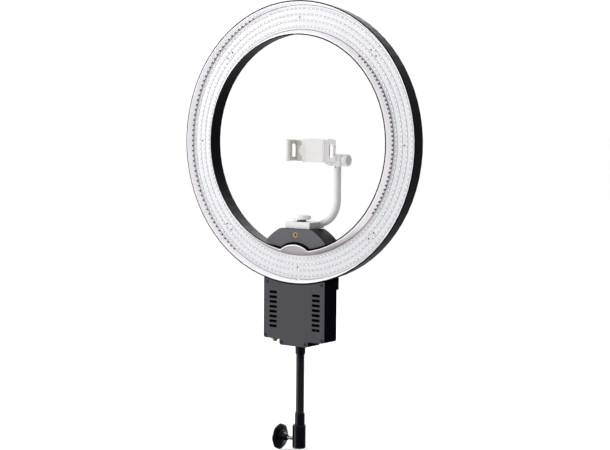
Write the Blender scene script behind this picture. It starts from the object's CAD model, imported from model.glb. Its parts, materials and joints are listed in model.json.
"""Ring light on a bending neck, with control box and phone holder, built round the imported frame."""
import json
import math

import bmesh
import bpy
from mathutils import Matrix, Vector


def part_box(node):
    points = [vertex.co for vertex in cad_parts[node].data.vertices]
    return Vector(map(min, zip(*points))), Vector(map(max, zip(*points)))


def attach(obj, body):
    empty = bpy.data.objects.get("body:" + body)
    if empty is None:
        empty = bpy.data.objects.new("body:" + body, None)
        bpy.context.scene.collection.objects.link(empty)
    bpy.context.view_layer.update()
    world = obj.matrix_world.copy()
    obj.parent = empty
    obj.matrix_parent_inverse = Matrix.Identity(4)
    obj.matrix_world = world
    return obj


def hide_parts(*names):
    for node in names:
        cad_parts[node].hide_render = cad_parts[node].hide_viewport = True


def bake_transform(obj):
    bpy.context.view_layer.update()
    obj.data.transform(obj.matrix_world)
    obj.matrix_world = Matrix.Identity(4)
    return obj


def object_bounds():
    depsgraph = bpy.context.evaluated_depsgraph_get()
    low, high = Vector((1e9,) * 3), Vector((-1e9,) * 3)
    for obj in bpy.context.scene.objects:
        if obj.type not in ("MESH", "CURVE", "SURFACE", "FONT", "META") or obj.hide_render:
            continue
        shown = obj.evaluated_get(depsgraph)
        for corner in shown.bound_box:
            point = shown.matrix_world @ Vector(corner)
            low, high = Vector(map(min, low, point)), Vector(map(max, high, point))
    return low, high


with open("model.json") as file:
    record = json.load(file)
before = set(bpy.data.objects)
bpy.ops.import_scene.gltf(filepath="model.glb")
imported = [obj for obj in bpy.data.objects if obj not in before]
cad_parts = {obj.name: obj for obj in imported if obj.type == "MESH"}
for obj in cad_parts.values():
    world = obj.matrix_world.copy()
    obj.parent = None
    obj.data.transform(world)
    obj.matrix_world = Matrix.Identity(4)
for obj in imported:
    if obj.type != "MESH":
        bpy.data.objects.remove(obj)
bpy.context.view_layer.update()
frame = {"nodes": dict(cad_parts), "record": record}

NODES = frame["nodes"]

# ------------------------------------------------------------------ places
ring_low, ring_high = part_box("ring_housing")
RIM_Y = ring_low.y
RING_R = 0.2405
RING_Z = ring_low.z + RING_R
RING_BACK = ring_high.y - RIM_Y
BOARD_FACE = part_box("led_board_1")[0].y
BOARD_DEPTH = BOARD_FACE - RIM_Y
BOARD_INNER_R = 0.1916
BOARD_OUTER_R = 0.2331
BOARD_JOINTS = (45, 135, 225, 315)
BOX_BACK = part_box("box_shell")[1].y
GAP = 0.0003
PROUD = 0.00006
SUNK = 0.0001


def ring_point(x, depth, height):
    """World point from the ring's centre: x, depth behind the rim, height."""
    return Vector((x, RIM_Y + depth, RING_Z + height))


def polar(radius, degrees, depth):
    """Point on the ring, the angle counted from its top towards +X."""
    angle = math.radians(degrees)
    return ring_point(radius * math.sin(angle), depth, radius * math.cos(angle))


def joint_place(name):
    """A joint's point in the world, from the record."""
    joints = frame["record"]["behaviour"]["joints"]
    return Vector(next(joint["pos_m"] for joint in joints if joint["name"] == name))


# ------------------------------------------------------------------ materials
def srgb(r, g, b):
    """Linear colour from 0-255 screen values."""
    made = []
    for value in (r, g, b):
        v = value / 255
        made.append(v / 12.92 if v <= 0.04045 else ((v + 0.055) / 1.055) ** 2.4)
    return tuple(made)


class Surface:
    """A Principled material whose colour, roughness and bump come from nodes."""

    def __init__(self, name, color, roughness, metallic=0.0, specular=0.5, coat=0.0):
        self.made = bpy.data.materials.new(name)
        self.made.use_nodes = True
        self.tree = self.made.node_tree
        self.shader = self.tree.nodes["Principled BSDF"]
        self.color = color
        self.shader.inputs["Base Color"].default_value = (*color, 1)
        self.shader.inputs["Roughness"].default_value = roughness
        self.shader.inputs["Metallic"].default_value = metallic
        self.shader.inputs["Specular IOR Level"].default_value = specular
        if coat:
            self.shader.inputs["Coat Weight"].default_value = coat
            self.shader.inputs["Coat Roughness"].default_value = 0.08
        self.roughness = roughness
        self.coords = self.node("ShaderNodeTexCoord")

    def node(self, kind, **values):
        """A new node with its settings."""
        made = self.tree.nodes.new(kind)
        for key, value in values.items():
            setattr(made, key, value)
        return made

    def link(self, a, b):
        self.tree.links.new(a, b)

    def noise(self, scale, detail):
        """Noise in the part's own coordinates."""
        made = self.node("ShaderNodeTexNoise")
        made.inputs["Scale"].default_value = scale
        made.inputs["Detail"].default_value = detail
        self.link(self.coords.outputs["Object"], made.inputs["Vector"])
        return made.outputs["Fac"]

    def spread(self, value, low, high, out_low, out_high):
        """The value with one range stretched to another."""
        made = self.node("ShaderNodeMapRange")
        made.inputs["From Min"].default_value = low
        made.inputs["From Max"].default_value = high
        made.inputs["To Min"].default_value = out_low
        made.inputs["To Max"].default_value = out_high
        self.link(value, made.inputs["Value"])
        return made.outputs["Result"]

    def product(self, a, b):
        """Two values multiplied."""
        made = self.node("ShaderNodeMath", operation="MULTIPLY")
        self.link(a, made.inputs[0])
        self.link(b, made.inputs[1])
        return made.outputs[0]

    def vary(self, scale, amount, detail=4):
        """Blotches of a darker shade over the colour."""
        darker = tuple(c * (1 - amount) for c in self.color)
        return self.paint(self.spread(self.noise(scale, detail), 0.35, 0.65, 0, 1), darker)

    def paint(self, mask, color):
        """Lay a colour over the surface where mask is 1."""
        mix = self.node("ShaderNodeMix", data_type="RGBA")
        self.link(mask, mix.inputs["Factor"])
        source = self.shader.inputs["Base Color"]
        if source.links:
            self.link(source.links[0].from_socket, mix.inputs[6])
        else:
            mix.inputs[6].default_value = (*self.color, 1)
        mix.inputs[7].default_value = (*color, 1)
        self.link(mix.outputs[2], source)
        return self

    def rough(self, scale, amount, detail=3):
        """Patches that are duller and glossier than the rest."""
        low = max(0.02, self.roughness - amount)
        high = min(1.0, self.roughness + amount)
        self.link(
            self.spread(self.noise(scale, detail), 0.3, 0.7, low, high),
            self.shader.inputs["Roughness"],
        )
        return self

    def grain(self, scale, strength, distance, detail=2):
        """Fine bumps of the surface's texture."""
        bump = self.node("ShaderNodeBump")
        bump.inputs["Strength"].default_value = strength
        bump.inputs["Distance"].default_value = distance
        self.link(self.noise(scale, detail), bump.inputs["Height"])
        self.link(bump.outputs["Normal"], self.shader.inputs["Normal"])
        return self


def ramp(surface, axis, start, end):
    """Mask rising from 0 to 1 along an axis of a part drawn in place."""
    split = surface.node("ShaderNodeSeparateXYZ")
    surface.link(surface.coords.outputs["Object"], split.inputs["Vector"])
    return surface.spread(split.outputs[axis], start, end, 0, 1)


def shade_arch(surface):
    """Grey the inner wall towards the bottom of the ring, behind its white lip."""
    low = ramp(surface, "Z", RING_Z - 0.135, RING_Z - 0.176)
    behind = ramp(surface, "Y", RIM_Y + 0.0006, RIM_Y + 0.0012)
    foot = ramp(surface, "Y", RIM_Y + 0.0060, RIM_Y + 0.0105)
    mask = surface.product(low, behind)
    surface.paint(mask, srgb(158, 151, 155))
    return surface.paint(surface.product(mask, foot), srgb(136, 127, 134))


def shade_sides(surface):
    """Darken every face of the bracket behind its front."""
    return surface.paint(ramp(surface, "Y", RIM_Y + 0.0042, RIM_Y + 0.0046), srgb(24, 23, 31))


def shade_front(surface):
    """Tone down the jaws' front edges, which face the lamps."""
    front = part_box("fixed_jaw")[0].y
    return surface.paint(ramp(surface, "Y", front + 0.0012, front + 0.0006), srgb(184, 183, 180))


def shade_lug(surface):
    """Lighten the cover's lug, which the left jaw would shade."""
    return surface.paint(ramp(surface, "X", 0.0040, 0.0004), srgb(220, 219, 217))


def liner(name):
    """Glossy white film of the sloping walls."""
    made = Surface(name, srgb(240, 236, 240), 0.32)
    return made.vary(9, 0.04).rough(400, 0.05).grain(900, 0.06, 0.0001)


def grained(name, color, blotch, specular):
    """Coarse dark paint of the plate and the bracket."""
    made = Surface(name, color, 0.62, specular=specular)
    return made.vary(2200, blotch).rough(700, 0.08).grain(3200, 0.5, 0.00018)


def plastic(name, color):
    """White moulded plastic of the phone holder."""
    made = Surface(name, color, 0.42)
    return made.vary(40, 0.03).rough(600, 0.06).grain(2400, 0.12, 0.0001)


def surfaces():
    """Every material, by the key that the pieces use."""
    made = {}
    made["housing"] = (
        Surface("housing_black", srgb(7, 7, 18), 0.42, specular=0.03)
        .vary(60, 0.25).rough(900, 0.06).grain(2600, 0.25, 0.00012)
    )
    made["liner"] = liner("liner_white")
    made["arch_liner"] = shade_arch(liner("arch_liner_white"))
    made["seam"] = Surface("liner_seam", srgb(120, 108, 116), 0.6).vary(60, 0.2).rough(500, 0.08)
    made["graphite"] = grained("graphite_grain", srgb(66, 65, 69), 0.24, 0.12)
    made["bracket"] = shade_sides(grained("bracket_grain", srgb(87, 87, 91), 0.18, 0.1))
    made["box"] = (
        Surface("box_black", srgb(3, 3, 14), 0.5, specular=0.01)
        .vary(80, 0.3).rough(900, 0.07).grain(2800, 0.35, 0.00012)
    )
    made["powder"] = (
        Surface("powder_black", srgb(3, 3, 13), 0.24, specular=0.26)
        .vary(90, 0.3).rough(600, 0.07).grain(3000, 0.12, 0.0001)
    )
    made["coil"] = (
        Surface("coil_black", srgb(3, 3, 13), 0.2, specular=0.28)
        .vary(120, 0.35).rough(700, 0.08).grain(2600, 0.15, 0.0001)
    )
    made["gloss"] = (
        Surface("knob_gloss_black", srgb(4, 4, 14), 0.3, specular=0.2)
        .vary(70, 0.3).rough(300, 0.05).grain(1500, 0.05, 0.0001)
    )
    made["control"] = (
        Surface("control_black", srgb(18, 18, 22), 0.42, specular=0.25)
        .vary(90, 0.25).rough(700, 0.06).grain(2500, 0.2, 0.0001)
    )
    made["screw"] = Surface("screw_black", srgb(18, 17, 20), 0.38, 0.5).vary(300, 0.4).rough(900, 0.1)
    made["recess"] = Surface("recess_black", srgb(5, 5, 7), 0.6, specular=0.1).vary(400, 0.3)
    made["board_screw"] = (
        Surface("screw_bronze", srgb(150, 128, 100), 0.36, 0.85)
        .vary(500, 0.35).rough(900, 0.1)
    )
    made["brass"] = (
        Surface("insert_brass", srgb(218, 178, 104), 0.3, 0.7)
        .vary(400, 0.3).rough(900, 0.1).grain(1800, 0.1, 0.0001)
    )
    made["steel"] = (
        Surface("turned_steel", srgb(112, 102, 95), 0.36, 1.0)
        .vary(300, 0.2).rough(1200, 0.1).grain(2600, 0.12, 0.0001)
    )
    made["nickel"] = (
        Surface("inlet_nickel", srgb(196, 184, 156), 0.26, 1.0)
        .vary(300, 0.25).rough(900, 0.08)
    )
    made["white"] = plastic("holder_white", srgb(216, 215, 213))
    made["block_white"] = plastic("block_white", srgb(197, 196, 195))
    made["cover_white"] = shade_lug(plastic("cover_white", srgb(184, 183, 182)))
    made["jaw_white"] = shade_front(
        Surface("jaw_white", srgb(252, 250, 251), 0.46)
        .vary(50, 0.02).rough(600, 0.06).grain(2000, 0.14, 0.0001)
    )
    made["tube_white"] = (
        Surface("tube_white", srgb(196, 194, 193), 0.36)
        .vary(30, 0.04).rough(500, 0.06).grain(2600, 0.1, 0.0001)
    )
    made["white_shade"] = (
        Surface("holder_grey", srgb(158, 156, 158), 0.5)
        .vary(60, 0.06).rough(600, 0.06).grain(2400, 0.12, 0.0001)
    )
    made["pad"] = (
        Surface("jaw_pad_grey", srgb(186, 183, 174), 0.75)
        .vary(300, 0.08).rough(500, 0.08).grain(1500, 0.4, 0.0002)
    )
    made["green"] = Surface("board_green", srgb(14, 58, 34), 0.35).vary(300, 0.3).rough(400, 0.08)
    made["screen"] = Surface("dust_screen", srgb(5, 5, 8), 0.9, specular=0.0).vary(900, 0.4)
    made["red"] = (
        Surface("rocker_red", srgb(176, 24, 22), 0.25)
        .vary(90, 0.15).rough(500, 0.05).grain(1800, 0.06, 0.0001)
    )
    made["ember"] = Surface("lamp_dark_red", srgb(40, 6, 9), 0.5).vary(900, 0.2).rough(900, 0.08)
    made["smoke"] = (
        Surface("display_smoke", srgb(10, 11, 14), 0.08, coat=0.5)
        .vary(50, 0.2).rough(300, 0.03)
    )
    made["digits"] = Surface("display_digits", srgb(190, 226, 238), 0.4).vary(900, 0.05)
    made["marks"] = Surface("printed_marks", srgb(196, 196, 194), 0.6).vary(600, 0.08)
    made["board"] = (
        Surface("board_white", srgb(193, 193, 199), 0.38)
        .vary(260, 0.07).rough(500, 0.06).grain(1300, 0.1, 0.0001)
    )
    made["package"] = Surface("led_package", srgb(186, 190, 202), 0.4).vary(700, 0.06).rough(900, 0.05)
    made["warm"] = Surface("led_warm", srgb(214, 192, 130), 0.3).vary(900, 0.12).rough(900, 0.05)
    made["cool"] = Surface("led_cool", srgb(236, 236, 236), 0.3).vary(900, 0.06).rough(900, 0.05)
    made["chip"] = Surface("notch_grey", srgb(66, 62, 70), 0.5).vary(700, 0.25).rough(900, 0.08)
    made["trace"] = Surface("board_trace", srgb(190, 193, 204), 0.4).vary(500, 0.06).rough(600, 0.06)
    made["cream"] = Surface("clip_cream", srgb(228, 222, 202), 0.5).vary(400, 0.05).rough(500, 0.06)
    return {key: value.made for key, value in made.items()}


MATS = surfaces()

CAD_FINISH = {
    "housing": ["ring_housing", "rear_cover"],
    "liner": ["outer_reflector"],
    "arch_liner": ["inner_reflector"],
    "graphite": ["front_plate"],
    "bracket": ["bracket_block"],
    "box": ["box_shell"],
    "powder": ["stand_socket", "lower_sleeve", "upper_sleeve"],
    "control": ["switch_case", "mode_button", "channel_button"],
    "screw": [f"plate_screw_{i}" for i in range(1, 7)],
    "brass": ["front_insert", "top_insert"],
    "steel": [
        "clamp_stud",
        "base_stud",
        "tilt_stud",
        "jaw_spring",
        "board_carrier",
        "brightness_encoder",
        "colour_encoder",
    ],
    "nickel": ["dc_inlet", "inlet_nut"],
    "white": ["tilt_head", "clamp_arm"],
    "block_white": ["clamp_body", "holder_block"],
    "cover_white": ["clamp_cover"],
    "jaw_white": ["fixed_jaw", "sliding_jaw"],
    "pad": ["fixed_jaw_pad", "sliding_jaw_pad"],
    "green": ["driver_board", "control_board"],
    "red": ["power_rocker"],
    "smoke": ["display_window"],
    "board": [f"led_board_{i}" for i in range(1, 5)],
}


def dress_cad():
    """Put the materials on the CAD bodies that stay visible."""
    for key, names in CAD_FINISH.items():
        for name in names:
            mesh = NODES[name].data
            mesh.materials.clear()
            mesh.materials.append(MATS[key])


# ------------------------------------------------------------------ mesh tools
def piece(name, mesh, body, finish, smooth=35, replaces=()):
    """A visible piece that rides on a body."""
    obj = bpy.data.objects.new(name, mesh)
    bpy.context.scene.collection.objects.link(obj)
    mesh.materials.clear()
    mesh.materials.append(MATS[finish])
    if smooth:
        mesh.shade_smooth()
        mesh.set_sharp_from_angle(angle=math.radians(smooth))
    if body:
        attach(obj, body)
    if replaces:
        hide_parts(*replaces)
    return obj


def mesh_from(name, points, faces):
    """A mesh from its points and faces."""
    mesh = bpy.data.meshes.new(name)
    mesh.from_pydata([tuple(p) for p in points], [], faces)
    mesh.validate()
    return mesh


def from_bmesh(name, shape):
    """A mesh from a bmesh, which is freed."""
    mesh = bpy.data.meshes.new(name)
    shape.to_mesh(mesh)
    shape.free()
    return mesh


def outward(mesh):
    """The same mesh with its faces turned to the outside."""
    shape = bmesh.new()
    shape.from_mesh(mesh)
    if shape.calc_volume(signed=True) < 0:
        bmesh.ops.reverse_faces(shape, faces=shape.faces)
    shape.to_mesh(mesh)
    shape.free()
    return mesh


def on_axis(axis, a, b, along):
    """Vector from two distances across an axis and one along it."""
    if axis == "X":
        return Vector((along, a, b))
    if axis == "Y":
        return Vector((b, along, a))
    return Vector((a, b, along))


def lathe(name, profile, origin, axis="Z", steps=64, bumps=None):
    """Closed solid turned about an axis from (radius, along) points.

    bumps(angle, radius, along) may change a point's radius.
    """
    origin = Vector(origin)
    points = []
    faces = []
    rows = []
    for radius, along in profile:
        if radius == 0:
            rows.append([len(points)])
            points.append(origin + on_axis(axis, 0, 0, along))
            continue
        row = []
        for i in range(steps):
            angle = math.tau * i / steps
            r = bumps(angle, radius, along) if bumps else radius
            row.append(len(points))
            across = (r * math.cos(angle), r * math.sin(angle))
            points.append(origin + on_axis(axis, *across, along))
        rows.append(row)
    closed = profile[0][0] > 0
    pairs = list(zip(rows, rows[1:])) + ([(rows[-1], rows[0])] if closed else [])
    for row, after in pairs:
        for i in range(steps):
            j = (i + 1) % steps
            if len(row) == 1:
                faces.append((row[0], after[i], after[j]))
            elif len(after) == 1:
                faces.append((row[i], after[0], row[j]))
            else:
                faces.append((row[i], after[i], after[j], row[j]))
    return outward(mesh_from(name, points, faces))


def band(outer, inner, first, second):
    """Section of a square-edged ring for lathe, between two places along it."""
    return [(outer, first), (outer, second), (inner, second), (inner, first)]


def cube_between(low, high):
    """Matrix that stretches a unit cube between two corners."""
    low = Vector(low)
    high = Vector(high)
    return Matrix.Translation((low + high) / 2) @ Matrix.Diagonal((*(high - low), 1))


def boxes(name, corners):
    """Plain boxes in one mesh, each between two corners."""
    shape = bmesh.new()
    for low, high in corners:
        bmesh.ops.create_cube(shape, size=1, matrix=cube_between(low, high))
    return from_bmesh(name, shape)


def rounded_box(name, low, high, radius, segments):
    """Box between two corners with rounded edges."""
    shape = bmesh.new()
    bmesh.ops.create_cube(shape, size=1, matrix=cube_between(low, high))
    edges = shape.edges[:]
    bmesh.ops.bevel(shape, geom=edges, offset=radius, segments=segments, profile=0.5, affect="EDGES")
    return from_bmesh(name, shape)


def copies(name, mesh, matrices):
    """One mesh made of moved copies of another."""
    shape = bmesh.new()
    for matrix in matrices:
        moved = mesh.copy()
        moved.transform(matrix)
        shape.from_mesh(moved)
        bpy.data.meshes.remove(moved)
    return from_bmesh(name, shape)


def swept(name, points, radius, sides=40):
    """A round bar along points, with flat ends."""
    verts = []
    faces = []
    count = len(points)
    side = Vector((0, 1, 0))
    for i, place in enumerate(points):
        along = (points[min(i + 1, count - 1)] - points[max(i - 1, 0)]).normalized()
        across = side.cross(along).normalized()
        for k in range(sides):
            angle = math.tau * k / sides
            verts.append(place + radius * (side * math.cos(angle) + across * math.sin(angle)))
    for i in range(count - 1):
        for k in range(sides):
            m = (k + 1) % sides
            near = i * sides
            far = near + sides
            faces.append((near + k, near + m, far + m, far + k))
    faces.append(tuple(range(sides)))
    faces.append(tuple(reversed(range((count - 1) * sides, count * sides))))
    return outward(mesh_from(name, verts, faces))


def screws(name, places, facing, radius, rise, body, finish):
    """Pan heads in one piece, and their cross recesses in another."""
    profile = [
        (0, rise),
        (0.60 * radius, rise),
        (0.86 * radius, 0.72 * rise),
        (radius, 0.25 * rise),
        (radius, 0),
        (0, 0),
    ]
    turn = Vector(facing).to_track_quat("Z", "Y").to_matrix().to_4x4()
    spots = []
    for number, place in enumerate(places):
        spin = Matrix.Rotation(0.5 + 0.9 * number, 4, "Z")
        spots.append(Matrix.Translation(place) @ turn @ spin)
    head = lathe(name + "_head", profile, (0, 0, 0), "Z", 24)
    piece(name, copies(name, head, spots), body, finish)
    arm = 0.56 * radius
    half = 0.13 * radius
    top = rise + PROUD
    cross = boxes(
        name + "_cross",
        [
            ((-arm, -half, rise * 0.5), (arm, half, top)),
            ((-half, -arm, rise * 0.5), (half, arm, top)),
        ],
    )
    piece(name + "_recess", copies(name + "_recess", cross, spots), body, "recess", 0)


# ------------------------------------------------------------------ LEDs
LED_ROWS = (0.2275, 0.2174, 0.2074, 0.1972)
LED_COLUMNS = 160
PAIR_SHIFT = 0.0019
# Half sizes across and along a column, and places in front of the board's face.
LED_HALF = (0.00178, 0.00148)
LED_TOP = -0.0009
WINDOW_HALF = (0.00142, 0.00114)
WINDOW_FLOOR = -0.0006
DOME_HALF = (0.00140, 0.00112)
DOME_FOOT = -0.00062
DOME_CROWN = -0.00086
TRACE_HALF = (0.0012, 0.0017)
TRACE_HEIGHT = 0.00008
TRACE_STEP = 0.0050
NOTCH_HALF = 0.0014
NOTCH_RISES = (0.0001, 0.0033)
# Each wall's foot radius, its lean over LEAN_DEPTH, half the plates' thickness,
# and the first and last angle.
NOTCH_WALLS = (
    (0.2335, 0.00074, -0.0006, 214, 336),
    (0.1912, -0.00134, 0.0006, 40, 128),
)
LEAN_DEPTH = 0.0024
CUBE_FACES = [(0, 1, 3, 2), (4, 6, 7, 5), (0, 4, 5, 1), (2, 3, 7, 6), (0, 2, 6, 4), (1, 5, 7, 3)]


def rectangle(half_x, half_z):
    """Corners of a rectangle round the origin, in order."""
    return ((-half_x, -half_z), (half_x, -half_z), (half_x, half_z), (-half_x, half_z))


def led_template():
    """Frame and window of one LED, lying in the XZ plane and facing -Y."""
    outer = rectangle(*LED_HALF)
    inner = rectangle(*WINDOW_HALF)
    points = [Vector((x, 0, z)) for x, z in outer]
    points += [Vector((x, LED_TOP, z)) for x, z in outer]
    points += [Vector((x, LED_TOP, z)) for x, z in inner]
    points += [Vector((x, WINDOW_FLOOR, z)) for x, z in inner]
    faces = [(3, 2, 1, 0)]
    for low in (0, 4, 8):
        for i in range(4):
            j = (i + 1) % 4
            faces.append((low + i, low + j, low + 4 + j, low + 4 + i))
    faces.append((12, 13, 14, 15))
    return points, faces


def dome_template():
    """Low dome of phosphor in an LED's window."""
    points = []
    half_x, half_z = DOME_HALF
    count = 10
    for i in range(count):
        angle = math.tau * i / count
        points.append(Vector((half_x * math.cos(angle), DOME_FOOT, half_z * math.sin(angle))))
    points.append(Vector((0, DOME_CROWN, 0)))
    points.append(Vector((0, DOME_FOOT, 0)))
    faces = []
    for i in range(count):
        j = (i + 1) % count
        faces.append((i, j, count))
        faces.append((j, i, count + 1))
    return points, faces


def block_template(half_x, half_z, height):
    """Flat block lying on the board."""
    points = [Vector((x, y, z)) for y in (0, -height) for x, z in rectangle(half_x, half_z)]
    faces = [(3, 2, 1, 0), (4, 5, 6, 7)]
    for i in range(4):
        j = (i + 1) % 4
        faces.append((i, j, j + 4, i + 4))
    return points, faces


def scatter(name, template, places, body, finish, smooth=0):
    """Copies of a template at (radius, degrees, sideways shift) on the boards."""
    points, faces = template
    all_points = []
    all_faces = []
    for radius, degrees, shift in places:
        base = len(all_points)
        turn = Matrix.Rotation(math.radians(degrees), 3, "Y")
        for point in points:
            local = turn @ (point + Vector((shift, 0, radius)))
            all_points.append(ring_point(local.x, local.y + BOARD_DEPTH, local.z))
        all_faces += [tuple(base + k for k in face) for face in faces]
    mesh = mesh_from(name, all_points, all_faces)
    return piece(name, outward(mesh), body, finish, smooth)


def wall_notches(angles):
    """Small plates lying on both walls at their feet, between the LEDs."""
    points = []
    faces = []
    for foot, lean, thick, first, last in NOTCH_WALLS:
        for angle in angles:
            if not first < angle % 360 < last:
                continue
            half = math.degrees(NOTCH_HALF / foot)
            base = len(points)
            for rise in NOTCH_RISES:
                wall = foot + lean * rise / LEAN_DEPTH
                for radius in (wall + thick, wall - thick):
                    points.append(polar(radius, angle - half, BOARD_DEPTH - rise))
                    points.append(polar(radius, angle + half, BOARD_DEPTH - rise))
            faces += [tuple(base + k for k in face) for face in CUBE_FACES]
    return outward(mesh_from("wall_notches", points, faces))


def build_leds():
    """Rows of warm and cool LEDs in pairs, and the traces between them."""
    warm = []
    cool = []
    between = []
    step = 360 / LED_COLUMNS
    for column in range(LED_COLUMNS):
        angle = (column + 0.5) * step
        for radius in LED_ROWS:
            warm.append((radius, angle, -PAIR_SHIFT))
            cool.append((radius, angle, PAIR_SHIFT))
        between.append(angle + step / 2)
    scatter("led_packages", led_template(), warm + cool, "head", "package")
    scatter("warm_phosphor", dome_template(), warm, "head", "warm", 60)
    scatter("cool_phosphor", dome_template(), cool, "head", "cool", 60)
    mesh = wall_notches(between)
    piece("wall_notches", mesh, "head", "chip", 0)
    trace = block_template(*TRACE_HALF, TRACE_HEIGHT)
    traces = [(r + TRACE_STEP, angle, 0) for r in LED_ROWS[1:] for angle in between]
    scatter("board_traces", trace, traces, "head", "trace")


SEAM_DEPTH = BOARD_DEPTH - 0.00005
JOINT_SCREW_TURN = 1.9
BACK_SCREW_R = 0.2115
BACK_LINES = (("back_line_outer", 0.2290), ("back_line_inner", 0.1940))
THREAD_TURNS = 6
THREAD_PITCH = 0.0011


def build_ring_details():
    """Seams at the walls' feet, the board screws, a cable clip and the back's lines and screws."""
    for name, radius in (("outer_seam", BOARD_OUTER_R), ("inner_seam", BOARD_INNER_R)):
        section = band(radius + 0.0006, radius - 0.0005, BOARD_DEPTH - 0.0004, SEAM_DEPTH)
        mesh = lathe(name, section, ring_point(0, 0, 0), "Y", 240)
        piece(name, mesh, "head", "seam")
    mid = (BOARD_INNER_R + BOARD_OUTER_R) / 2
    angles = [0, 90, 180, 270]
    for corner in BOARD_JOINTS:
        angles += [corner - JOINT_SCREW_TURN, corner + JOINT_SCREW_TURN]
    places = [polar(mid, angle, BOARD_DEPTH) for angle in angles]
    screws("board_screws", places, (0, -1, 0), 0.0016, 0.0009, "head", "board_screw")
    joints = []
    for corner in BOARD_JOINTS:
        turn = Matrix.Rotation(math.radians(corner), 4, "Y")
        joints.append(Matrix.Translation(ring_point(0, SEAM_DEPTH, 0)) @ turn)
    line = ((-0.0002, 0, BOARD_INNER_R), (0.0002, 0.00005, BOARD_OUTER_R))
    strip = boxes("joint_strip", [line])
    mesh = copies("board_joints", strip, joints)
    piece("board_joints", mesh, "head", "seam", 0)
    foot = ring_point(0.0035, 0, -BOARD_OUTER_R)
    clip = rounded_box(
        "cable_clip",
        foot + Vector((-0.003, 0.0085, -0.0022)),
        foot + Vector((0.003, 0.0112, 0.0004)),
        0.0004,
        2,
    )
    piece("cable_clip", clip, "head", "cream")
    corner = foot + Vector((-0.0052, 0.0090, -0.0018))
    mark = boxes("clip_mark", [(corner, corner + Vector((0.0018, 0.0022, 0.0016)))])
    piece("clip_mark", mark, "head", "chip", 0)
    # The rear cover takes the place of the two lowest screws.
    numbers = [number for number in range(12) if number not in (5, 6)]
    places = [polar(BACK_SCREW_R, 30 * number + 15, RING_BACK) for number in numbers]
    screws("ring_back_screws", places, (0, 1, 0), 0.0030, 0.0012, "head", "screw")
    for name, radius in BACK_LINES:
        section = [
            (radius + 0.0006, RING_BACK - 0.0002),
            (radius + 0.0003, RING_BACK + 0.0003),
            (radius - 0.0003, RING_BACK + 0.0003),
            (radius - 0.0006, RING_BACK - 0.0002),
        ]
        mesh = lathe(name, section, ring_point(0, 0, 0), "Y", 180)
        piece(name, mesh, "head", "housing")


def build_bracket_details():
    """Threads in the front insert and screws behind."""
    low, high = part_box("front_insert")
    centre = (low + high) / 2
    profile = [(0.0034, 0.0072)]
    for turn in range(THREAD_TURNS):
        at = 0.0068 - THREAD_PITCH * turn
        profile += [(0.0029, at), (0.0033, at - 0.0005)]
    profile += [(0.0034, 0.0006)]
    mesh = lathe("insert_thread", profile, (centre.x, low.y, centre.z), "Y", 32)
    piece("insert_thread", mesh, "head", "brass")
    cover_low, cover_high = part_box("rear_cover")
    foot = cover_low.z + 0.012
    top = cover_high.z - 0.030
    spots = ((-0.050, foot), (-0.042, top), (0.050, foot), (0.042, top))
    places = [Vector((x, cover_high.y, z)) for x, z in spots]
    screws("cover_screws", places, (0, 1, 0), 0.0030, 0.0012, "head", "screw")


# ------------------------------------------------------------------ gooseneck
NECK_R = 0.0077
NECK_GROOVE = 0.0011
RIDGE_COUNT = 19
ROW_HEIGHT = 0.0004
NECK_CLEAR = 0.00005
NECK_JOINTS = ["neck_tilt_1", "neck_lean_1", "neck_tilt_2", "neck_lean_2"]
NECK_JOINTS += ["neck_tilt_3", "neck_lean_3", "neck_tilt_4"]


def build_neck():
    """The wound neck, in one bending length for each joint."""
    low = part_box("lower_sleeve")[1].z + NECK_CLEAR
    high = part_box("upper_sleeve")[0].z - NECK_CLEAR
    pitch = (high - low) / RIDGE_COUNT

    def ridge(angle, radius, z):
        phase = (z - low) / pitch + angle / math.tau
        return radius - NECK_GROOVE / 2 * (1 - math.cos(math.tau * phase))

    heights = [joint_place(name).z for name in NECK_JOINTS]
    middles = [(a + b) / 2 for a, b in zip(heights, heights[1:])]
    cuts = [low] + middles + [high]
    for number in range(len(NECK_JOINTS)):
        foot = cuts[number]
        top = cuts[number + 1]
        rows = max(12, round((top - foot) / ROW_HEIGHT))
        profile = [(0, top)]
        profile += [(NECK_R, top + (foot - top) * i / rows) for i in range(rows + 1)]
        profile.append((0, foot))
        name = f"neck_coil_{number + 1}"
        mesh = lathe(name, profile, (0, 0, 0), "Z", 56, ridge)
        replaced = [f"neck_link_{number}"] if number else []
        coil = piece(name, mesh, "", "coil", 60, replaced)
        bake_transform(coil)


KNOB_LOBES = 8
KNOB_LOBE = 0.0009


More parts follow.
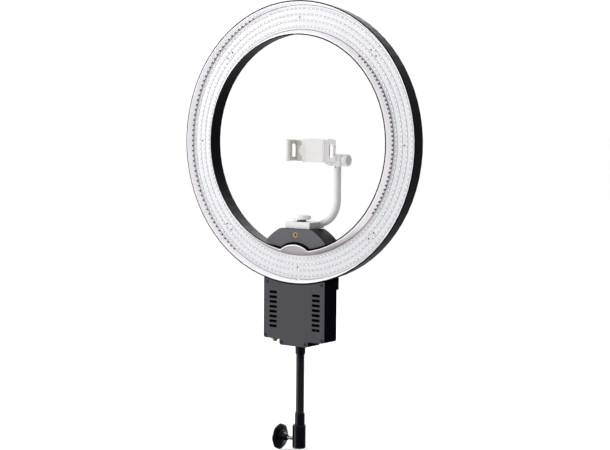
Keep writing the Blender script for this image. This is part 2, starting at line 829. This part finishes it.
def build_clamp_knob():
    """Lobed thumbscrew knob with a stepped hub."""
    low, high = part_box("clamp_knob")
    centre = joint_place("clamp_screw_turn")
    far = low.x
    near = high.x
    rim_r = (high.z - low.z) / 2
    hub_r = 0.0165

    def lobes(angle, radius, _):
        share = max(0.0, (radius - hub_r) / (rim_r - hub_r))
        return radius - share * KNOB_LOBE / 2 * (1 - math.cos(KNOB_LOBES * angle))

    profile = [
        (0, near - 0.0120),
        (0.0033, near - 0.0120),
        (0.0033, near - 0.0002),
        (0.0050, near),
        (0.0056, near - 0.0006),
        (0.0062, near - 0.0060),
        (0.0080, near - 0.0074),
        (0.0083, near - 0.0084),
        (0.0118, near - 0.0096),
        (0.0122, near - 0.0106),
        (hub_r, near - 0.0118),
        (0.0190, near - 0.0128),
        (0.0205, near - 0.0136),
        (rim_r - 0.0004, near - 0.0147),
        (rim_r, near - 0.0157),
        (rim_r - 0.0004, near - 0.0167),
        (0.0203, near - 0.0176),
        (0.0182, near - 0.0183),
        (0.0160, near - 0.0187),
        (0.0152, near - 0.0183),
        (0.0120, near - 0.0194),
        (0.0060, far + 0.0002),
        (0, far),
    ]
    mesh = lathe("clamp_knob_visual", profile, (0, centre.y, centre.z), "X", 160, lobes)
    piece("clamp_knob_visual", mesh, "clamp_screw", "gloss", 50, ["clamp_knob"])


def build_socket_details():
    """Edge rings on the socket."""
    low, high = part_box("stand_socket")
    radius = (high.x - low.x) / 2
    middle = ((low.x + high.x) / 2, 0, 0)
    inset = 0.0022
    half = 0.0004
    for name, at in (("socket_ring_top", high.z - inset), ("socket_ring_foot", low.z + inset)):
        section = band(radius + 0.00002, radius - 0.0004, at + half, at - half)
        piece(name, lathe(name, section, middle, "Z", 72), "stand_mount", "control")


# ------------------------------------------------------------------ phone holder
ARM_BEND = 0.042
ARM_RUN_IN = 0.0023
BEND_STEPS = 32
POST_STEPS = 8
COVER_LINE_RISES = (-0.0132, -0.0098, 0.0098, 0.0132)
JAW_SCREW_DEPTH = 0.0322
JAW_SCREW_HEIGHTS = (-0.0055, -0.0189)
KNUCKLE_SCREW_X = 0.0565
KNUCKLE_SCREW_HEIGHT = -0.0402
KNUCKLE_FACE = 0.0049


def build_holder_block():
    """Grey plate on the block's end, and the seams of its front and left side."""
    low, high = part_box("holder_block")
    edge = 0.0012
    near = (high.x - 0.0001, low.y + edge, low.z + edge)
    far = (high.x + 0.0002, high.y - edge, high.z - edge)
    end = boxes("block_end_plate", [(near, far)])
    piece("block_end_plate", end, "holder_base", "white_shade", 0)
    foot = low.z + 0.0028
    top = foot + 0.0003
    seams = boxes(
        "block_seams",
        [
            ((low.x + 0.001, low.y - 0.00005, foot), (high.x - 0.001, low.y + 0.0002, top)),
            ((low.x - 0.00005, low.y + 0.001, foot), (low.x + 0.0002, high.y - 0.001, top)),
        ],
    )
    piece("block_seams", seams, "holder_base", "white_shade", 0)


def build_base_knob():
    """Round thumbscrew knob with a finely fluted edge."""
    low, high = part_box("base_knob")
    centre = (low + high) / 2
    radius = (high.x - low.x) / 2
    profile = [
        (0, high.z),
        (radius - 0.0060, high.z),
        (radius - 0.0030, high.z - 0.0001),
        (radius - 0.0014, high.z - 0.0005),
        (radius - 0.0004, high.z - 0.0015),
        (radius, high.z - 0.0030),
        (radius, low.z + 0.0030),
        (radius - 0.0004, low.z + 0.0015),
        (radius - 0.0014, low.z + 0.0005),
        (radius - 0.0030, low.z),
        (0.0040, low.z),
        (0.0040, low.z + 0.0060),
        (0, low.z + 0.0060),
    ]

    def flutes(angle, r, z):
        side = max(0.0, 1 - abs(z - centre.z) / 0.0024)
        return r - 0.00025 * side * (0.5 + 0.5 * math.cos(48 * angle))

    origin = (centre.x, centre.y, 0)
    mesh = lathe("base_knob_visual", profile, origin, "Z", 192, flutes)
    piece("base_knob_visual", mesh, "base_screw", "white", 50, ["base_knob"])


def build_arm():
    """Tube that leaves the block's end, bends upwards and stands."""
    low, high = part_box("arm_tube")
    radius = (high.y - low.y) / 2
    depth = (high.y + low.y) / 2
    x = high.x - radius
    start = low.x
    centre = Vector((x - ARM_BEND, depth, low.z + radius + ARM_BEND))
    first = math.asin((start - ARM_RUN_IN - centre.x) / ARM_BEND) - math.pi / 2
    points = []
    for i in range(BEND_STEPS + 1):
        angle = first * (1 - i / BEND_STEPS)
        points.append(centre + ARM_BEND * Vector((math.cos(angle), 0, math.sin(angle))))
    for i in range(1, POST_STEPS + 1):
        points.append(Vector((x, depth, centre.z + (high.z - centre.z) * i / POST_STEPS)))
    mesh = swept("arm_tube_visual", points, radius)
    for vert in mesh.vertices:
        vert.co.x = max(vert.co.x, start)
    piece("arm_tube_visual", mesh, "holder_base", "tube_white", 50, ["arm_tube"])


def build_tilt_knob():
    """Fluted knob with a sunk disc in its end."""
    low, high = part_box("tilt_knob")
    centre = (low + high) / 2
    radius = (high.z - low.z) / 2 - 0.0001
    lip = 0.0078

    def flutes(angle, r, _):
        share = max(0.0, (r - lip) / (radius - lip))
        return r - share * 0.0006 * (1 - math.cos(9 * angle))

    profile = [
        (0, high.x - 0.0014),
        (0.0066, high.x - 0.0014),
        (0.0072, high.x - 0.0003),
        (lip, high.x),
        (0.0092, high.x),
        (radius - 0.0003, high.x - 0.0005),
        (radius, high.x - 0.0014),
        (radius, low.x + 0.0012),
        (radius - 0.0008, low.x),
        (0.0030, low.x),
        (0.0030, high.x - 0.0026),
        (0, high.x - 0.0026),
    ]
    origin = (0, centre.y, centre.z)
    mesh = lathe("tilt_knob_visual", profile, origin, "X", 108, flutes)
    piece("tilt_knob_visual", mesh, "tilt_screw", "white", 50, ["tilt_knob"])
    section = [(0, 0.0009), (0.0058, 0.0009), (0.0062, 0.0012), (0.0062, 0.0016), (0, 0.0016)]
    section = [(r, high.x - inset) for r, inset in section]
    disc = lathe("tilt_knob_disc", section, origin, "X", 48)
    piece("tilt_knob_disc", disc, "tilt_screw", "tube_white")


def build_phone_clamp():
    """Lines on the clamp's cover, the jaw's liner and the small screws."""
    low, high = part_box("clamp_cover")
    middle = (low.z + high.z) / 2
    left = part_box("clamp_body")[0].x + 0.0008
    right = high.x - 0.0005
    half = 0.00018
    lines = []
    for rise in COVER_LINE_RISES:
        at = middle + rise
        lines.append(((left, low.y - PROUD, at - half), (right, low.y + 0.0002, at + half)))
    piece("cover_lines", boxes("cover_lines", lines), "phone_clamp", "tube_white", 0)

    jaw_low, jaw_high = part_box("sliding_jaw")
    pad_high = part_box("sliding_jaw_pad")[1]
    front = pad_high.y + GAP
    near = (pad_high.x + 0.0002, front - 0.00012, jaw_low.z + 0.0008)
    far = (-0.0002, front + 0.0002, jaw_high.z - 0.0008)
    piece("flank_liner", boxes("flank_liner", [(near, far)]), "jaw_body", "pad", 0)

    low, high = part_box("fixed_jaw")
    spots = [ring_point(high.x, JAW_SCREW_DEPTH, height) for height in JAW_SCREW_HEIGHTS]
    screws("jaw_screws", spots, (1, 0, 0), 0.0013, 0.0002, "phone_clamp", "chip")
    foot = low.z + 0.0014
    top = high.z - 0.0014
    step = boxes(
        "jaw_steps",
        [
            ((low.x + 0.0012, low.y - 0.00004, foot), (low.x + 0.0015, low.y + 0.0002, top)),
            ((high.x - 0.0002, low.y + 0.0055, foot), (high.x + 0.00004, low.y + 0.0058, top)),
        ],
    )
    piece("jaw_steps", step, "phone_clamp", "white_shade", 0)
    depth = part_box("tilt_head")[0].y - RIM_Y + KNUCKLE_FACE
    spot = [ring_point(KNUCKLE_SCREW_X, depth, KNUCKLE_SCREW_HEIGHT)]
    screws("tilt_head_screw", spot, (0, -1, 0), 0.0012, 0.0009, "holder_base", "chip")


# ------------------------------------------------------------------ control box
VENT_X = 0.0452
VENT_SHIFT = 0.0014
SCREEN_HALF = 0.0095
SCREEN_TOP = -0.2535
SCREEN_FOOT = -0.3195
LAMP_X = 0.0466
LAMP_HEIGHT = -0.3161


def build_box_front():
    """Recesses in the plate screws, and what shows through the vents."""
    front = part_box("front_plate")[0].y
    arm = 0.0013
    half = 0.00032
    marks = []
    for number in range(1, 7):
        low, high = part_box(f"plate_screw_{number}")
        x = (low.x + high.x) / 2
        z = (low.z + high.z) / 2
        top = low.y - 0.00003
        marks.append(((x - arm, top, z - half), (x + arm, top + 0.0004, z + half)))
        marks.append(((x - half, top, z - arm), (x + half, top + 0.0004, z + arm)))
    mesh = boxes("plate_screw_recesses", marks)
    piece("plate_screw_recesses", mesh, "head", "recess", 0)
    sheets = []
    for side in (-1, 1):
        x = side * VENT_X + VENT_SHIFT
        near = (x - SCREEN_HALF, front + 0.0026, RING_Z + SCREEN_FOOT)
        far = (x + SCREEN_HALF, front + 0.0029, RING_Z + SCREEN_TOP)
        sheets.append((near, far))
    piece("dust_screens", boxes("dust_screens", sheets), "head", "screen", 0)
    lamp = lathe(
        "fuse_lamp",
        [(0, 0), (0.0009, 0.0002), (0.0013, 0.0008), (0.0013, 0.0018), (0, 0.0018)],
        (LAMP_X, front + 0.0010, RING_Z + LAMP_HEIGHT),
        "Y",
        20,
    )
    piece("fuse_lamp", lamp, "head", "ember")


SEGMENTS = {"0": "abcdef", "5": "acdfg", "6": "acdefg"}
DIGIT_HEIGHT = 0.0080
DIGIT_RISE = 0.0010
# Digits, place of the first, and step towards -X to the next.
NUMBERS = (("50", 0.0190, 0.0062), ("5600", -0.0010, 0.0058))
BAR_BLOCKS = 8
BAR_START = 0.0205
BAR_STEP = 0.0018
BAR_DROP = 0.0070


def on_back(back, x, z, half_x, half_z):
    """Corners of a mark that lies on a face of the rear panel."""
    return ((x - half_x, back - SUNK, z - half_z), (x + half_x, back + PROUD, z + half_z))


def seven_segment(digit, x, z, back):
    """Boxes of one digit, read from behind the light."""
    width = DIGIT_HEIGHT * 0.5
    line = DIGIT_HEIGHT * 0.11
    half = DIGIT_HEIGHT / 2
    bars = {
        "a": (0, half, width / 2, line / 2),
        "g": (0, 0, width / 2, line / 2),
        "d": (0, -half, width / 2, line / 2),
        "b": (-width / 2, half / 2, line / 2, half / 2),
        "c": (-width / 2, -half / 2, line / 2, half / 2),
        "f": (width / 2, half / 2, line / 2, half / 2),
        "e": (width / 2, -half / 2, line / 2, half / 2),
    }
    shrink = 0.94
    made = []
    for key in SEGMENTS[digit]:
        dx, dz, half_x, half_z = bars[key]
        made.append(on_back(back, x + dx, z + dz, half_x * shrink, half_z * shrink))
    return made


def build_display():
    """Two plain numbers on the window, and a bar of blocks under the first."""
    low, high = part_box("display_window")
    back = high.y
    middle = (low.z + high.z) / 2
    parts = []
    for digits, first, step in NUMBERS:
        for number, digit in enumerate(digits):
            parts += seven_segment(digit, first - step * number, middle + DIGIT_RISE, back)
    for number in range(BAR_BLOCKS):
        x = BAR_START - BAR_STEP * number
        parts.append(on_back(back, x, middle - BAR_DROP, 0.0006, 0.0008))
    piece("display_digits", boxes("display_digits", parts), "head", "digits", 0)


def build_dial(name, body):
    """Knurled push-on dial with a pointer line."""
    low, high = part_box(name)
    centre = (low + high) / 2
    radius = (high.x - low.x) / 2
    back = high.y
    front = back - 0.0120

    def knurl(angle, r, along):
        if r > radius - 0.0008 and front + 0.0012 < along < back - 0.0008:
            return r - 0.00035 * (0.5 - 0.5 * math.cos(36 * angle))
        return r

    profile = [
        (0, back - 0.0004),
        (radius - 0.0030, back - 0.0004),
        (radius - 0.0024, back),
        (radius - 0.0012, back),
        (radius - 0.0004, back - 0.0006),
        (radius - 0.0002, back - 0.0010),
        (radius - 0.0001, front + 0.0020),
        (radius, front + 0.0010),
        (radius, front),
        (0.0040, front),
        (0.0040, front + 0.0010),
        (0.0015, front + 0.0010),
        (0.0015, low.y),
        (0, low.y),
    ]
    origin = (centre.x, 0, centre.z)
    mesh = lathe(name + "_visual", profile, origin, "Y", 216, knurl)
    piece(name + "_visual", mesh, body, "control", 50, [name])
    near = (centre.x - 0.0003, back - 0.0006, centre.z + 0.0022)
    far = (centre.x + 0.0003, back + 0.00004, centre.z + 0.0080)
    line = boxes(name + "_pointer", [(near, far)])
    piece(name + "_pointer", line, body, "marks", 0)


DIAL_TICKS = 11
DIAL_SWEEP = 270
PANEL_HALF = 0.0275
PANEL_TOP = -0.2571
PANEL_FOOT = -0.2829
PANEL_LINE = 0.0004


def build_panel_marks():
    """Scales round the dials, rings on the buttons and a frame round the display."""
    ticks = []
    tick = boxes("tick", [((-0.00018, -SUNK, 0.0118), (0.00018, PROUD, 0.0134))])
    for name in ("brightness_dial", "colour_dial"):
        low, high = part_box(name)
        centre = (low + high) / 2
        for number in range(DIAL_TICKS):
            degrees = DIAL_SWEEP * (number / (DIAL_TICKS - 1) - 0.5)
            turn = Matrix.Rotation(math.radians(degrees), 4, "Y")
            ticks.append(Matrix.Translation((centre.x, BOX_BACK, centre.z)) @ turn)
    piece("dial_scales", copies("dial_scales", tick, ticks), "head", "marks", 0)
    for name in ("mode_button", "channel_button"):
        low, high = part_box(name)
        centre = (low + high) / 2
        section = band(0.0017, 0.0014, high.y - SUNK, high.y + 0.00004)
        ring = lathe(name + "_ring", section, (centre.x, 0, centre.z), "Y", 32)
        piece(name + "_ring", ring, name + "_body", "marks")
    thin = PANEL_LINE / 2
    middle = RING_Z + (PANEL_TOP + PANEL_FOOT) / 2
    half = (PANEL_TOP - PANEL_FOOT) / 2
    bars = [on_back(BOX_BACK, 0, middle + side * (half - thin), PANEL_HALF, thin) for side in (1, -1)]
    bars += [on_back(BOX_BACK, side * (PANEL_HALF - thin), middle, thin, half) for side in (-1, 1)]
    piece("panel_frame", boxes("panel_frame", bars), "head", "marks", 0)


# ------------------------------------------------------------------ stage
BACKDROP_SIDE = Vector((-0.585, 0.807, -0.075)).normalized()
SHEEN_SIDE = Vector((-0.645, -0.735, -0.208)).normalized()
SHEEN = 2.6
WORLD_DIM = 0.14
WORLD_BACKDROP = 1.05
WORLD_ABOVE = 1.2
# Cosines between which each bright part of the world rises to its full strength.
BACKDROP_EDGE = (0.50, 0.86)
SHEEN_EDGE = (0.950, 0.985)
ABOVE_EDGE = (0.22, 0.60)
FLOOR_NEAR = 2.0
FLOOR_FAR = 40.0
FLOOR_SIDES = 72
FLOOR_SPREAD = 24
FLOOR_GAP = 0.0015
LOOK_AT = Vector((0, 0, 0.45))
# Name, place, size and power of each lamp.
LAMPS = (
    ("key_light", (-1.15, -1.3, 1.0), 0.9, 22),
    ("fill_light", (0.9, -2.6, 0.9), 1.6, 14),
    ("rear_light", (-0.9, 2.5, 1.2), 1.2, 18),
)
CAMERA_LENS = 88.92
CAMERA_SENSOR = 36
CAMERA_AZIMUTH = 35.947
CAMERA_ROLL = 0.4942
CAMERA_BACK = Vector((0.58536, -0.80725, 0.07546)).normalized()
CAMERA_PLACE = Vector((1.5160, -2.0803, 0.5819))


def build_world():
    """Bright above and behind the light as seen from the camera, dim all round."""
    world = bpy.data.worlds.new("studio")
    world.use_nodes = True
    tree = world.node_tree

    def smooth(value, edge, strength):
        made = tree.nodes.new("ShaderNodeMapRange")
        made.interpolation_type = "SMOOTHSTEP"
        made.inputs["From Min"].default_value = edge[0]
        made.inputs["From Max"].default_value = edge[1]
        made.inputs["To Max"].default_value = strength
        tree.links.new(value, made.inputs["Value"])
        return made.outputs["Result"]

    coords = tree.nodes.new("ShaderNodeTexCoord")
    split = tree.nodes.new("ShaderNodeSeparateXYZ")
    tree.links.new(coords.outputs["Generated"], split.inputs["Vector"])

    def towards(side):
        made = tree.nodes.new("ShaderNodeVectorMath")
        made.operation = "DOT_PRODUCT"
        made.inputs[1].default_value = side
        tree.links.new(coords.outputs["Generated"], made.inputs[0])
        return made.outputs["Value"]

    backdrop = smooth(towards(BACKDROP_SIDE), BACKDROP_EDGE, 1.0)
    sheen = smooth(towards(SHEEN_SIDE), SHEEN_EDGE, SHEEN)
    above = smooth(split.outputs["Z"], ABOVE_EDGE, 1.0)
    level = tree.nodes.new("ShaderNodeMix")
    level.inputs["A"].default_value = WORLD_DIM
    level.inputs["B"].default_value = WORLD_BACKDROP
    tree.links.new(backdrop, level.inputs["Factor"])
    total = tree.nodes.new("ShaderNodeMix")
    total.inputs["B"].default_value = WORLD_ABOVE
    tree.links.new(above, total.inputs["Factor"])
    tree.links.new(level.outputs["Result"], total.inputs["A"])
    bright = tree.nodes.new("ShaderNodeMath")
    tree.links.new(total.outputs["Result"], bright.inputs[0])
    tree.links.new(sheen, bright.inputs[1])
    tree.links.new(bright.outputs["Value"], tree.nodes["Background"].inputs["Strength"])
    tree.nodes["Background"].inputs["Color"].default_value = (1, 1, 1, 1)
    bpy.context.scene.world = world


def build_stage():
    """Pale floor that reaches far only behind the light, and the lamps."""
    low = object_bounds()[0][2]
    behind = math.atan2(BACKDROP_SIDE[1], BACKDROP_SIDE[0])
    outline = []
    for step in range(FLOOR_SIDES):
        turn = math.tau * (step + 0.5) / FLOOR_SIDES - math.pi
        reach = FLOOR_FAR if abs(turn) < math.radians(FLOOR_SPREAD) else FLOOR_NEAR
        outline.append((reach * math.cos(behind + turn), reach * math.sin(behind + turn), 0))
    floor_mesh = mesh_from("floor", outline, [tuple(range(FLOOR_SIDES))])
    floor = bpy.data.objects.new("floor", floor_mesh)
    floor.location = (0, 0, low - FLOOR_GAP)
    floor.visible_glossy = False
    bpy.context.scene.collection.objects.link(floor)
    pale = Surface("floor_pale", (0.96, 0.96, 0.96), 0.9, specular=0.0).vary(1.5, 0.01)
    floor_mesh.materials.append(pale.made)

    for name, place, size, power in LAMPS:
        data = bpy.data.lights.new(name, "AREA")
        data.shape = "DISK"
        data.size = size
        data.energy = power
        lamp = bpy.data.objects.new(name, data)
        lamp.location = place
        lamp.visible_glossy = name != "fill_light"
        lamp.visible_camera = False
        aim = LOOK_AT - Vector(place)
        lamp.rotation_euler = aim.to_track_quat("-Z", "Y").to_euler()
        bpy.context.scene.collection.objects.link(lamp)


def build_camera():
    """Long lens from the front right, a little rolled."""
    azimuth = math.radians(CAMERA_AZIMUTH)
    roll = math.radians(CAMERA_ROLL)
    right = Vector((math.cos(azimuth), math.sin(azimuth), 0))
    up = CAMERA_BACK.cross(right)
    side = right * math.cos(roll) + up * math.sin(roll)
    top = up * math.cos(roll) - right * math.sin(roll)
    data = bpy.data.cameras.new("camera")
    data.sensor_width = CAMERA_SENSOR
    data.lens = CAMERA_LENS
    data.clip_start = 0.05
    data.clip_end = 100
    camera = bpy.data.objects.new("camera", data)
    matrix = Matrix((side, top, CAMERA_BACK)).transposed().to_4x4()
    matrix.translation = CAMERA_PLACE
    camera.matrix_world = matrix
    bpy.context.scene.collection.objects.link(camera)
    bpy.context.scene.camera = camera
    bpy.context.scene.view_settings.view_transform = "Standard"


build_camera()
build_world()
build_stage()
dress_cad()
build_leds()
build_ring_details()
build_bracket_details()
build_neck()
build_clamp_knob()
build_socket_details()
build_holder_block()
build_base_knob()
build_arm()
build_tilt_knob()
build_phone_clamp()
build_box_front()
build_display()
build_dial("brightness_dial", "brightness_dial_body")
build_dial("colour_dial", "colour_dial_body")
build_panel_marks()
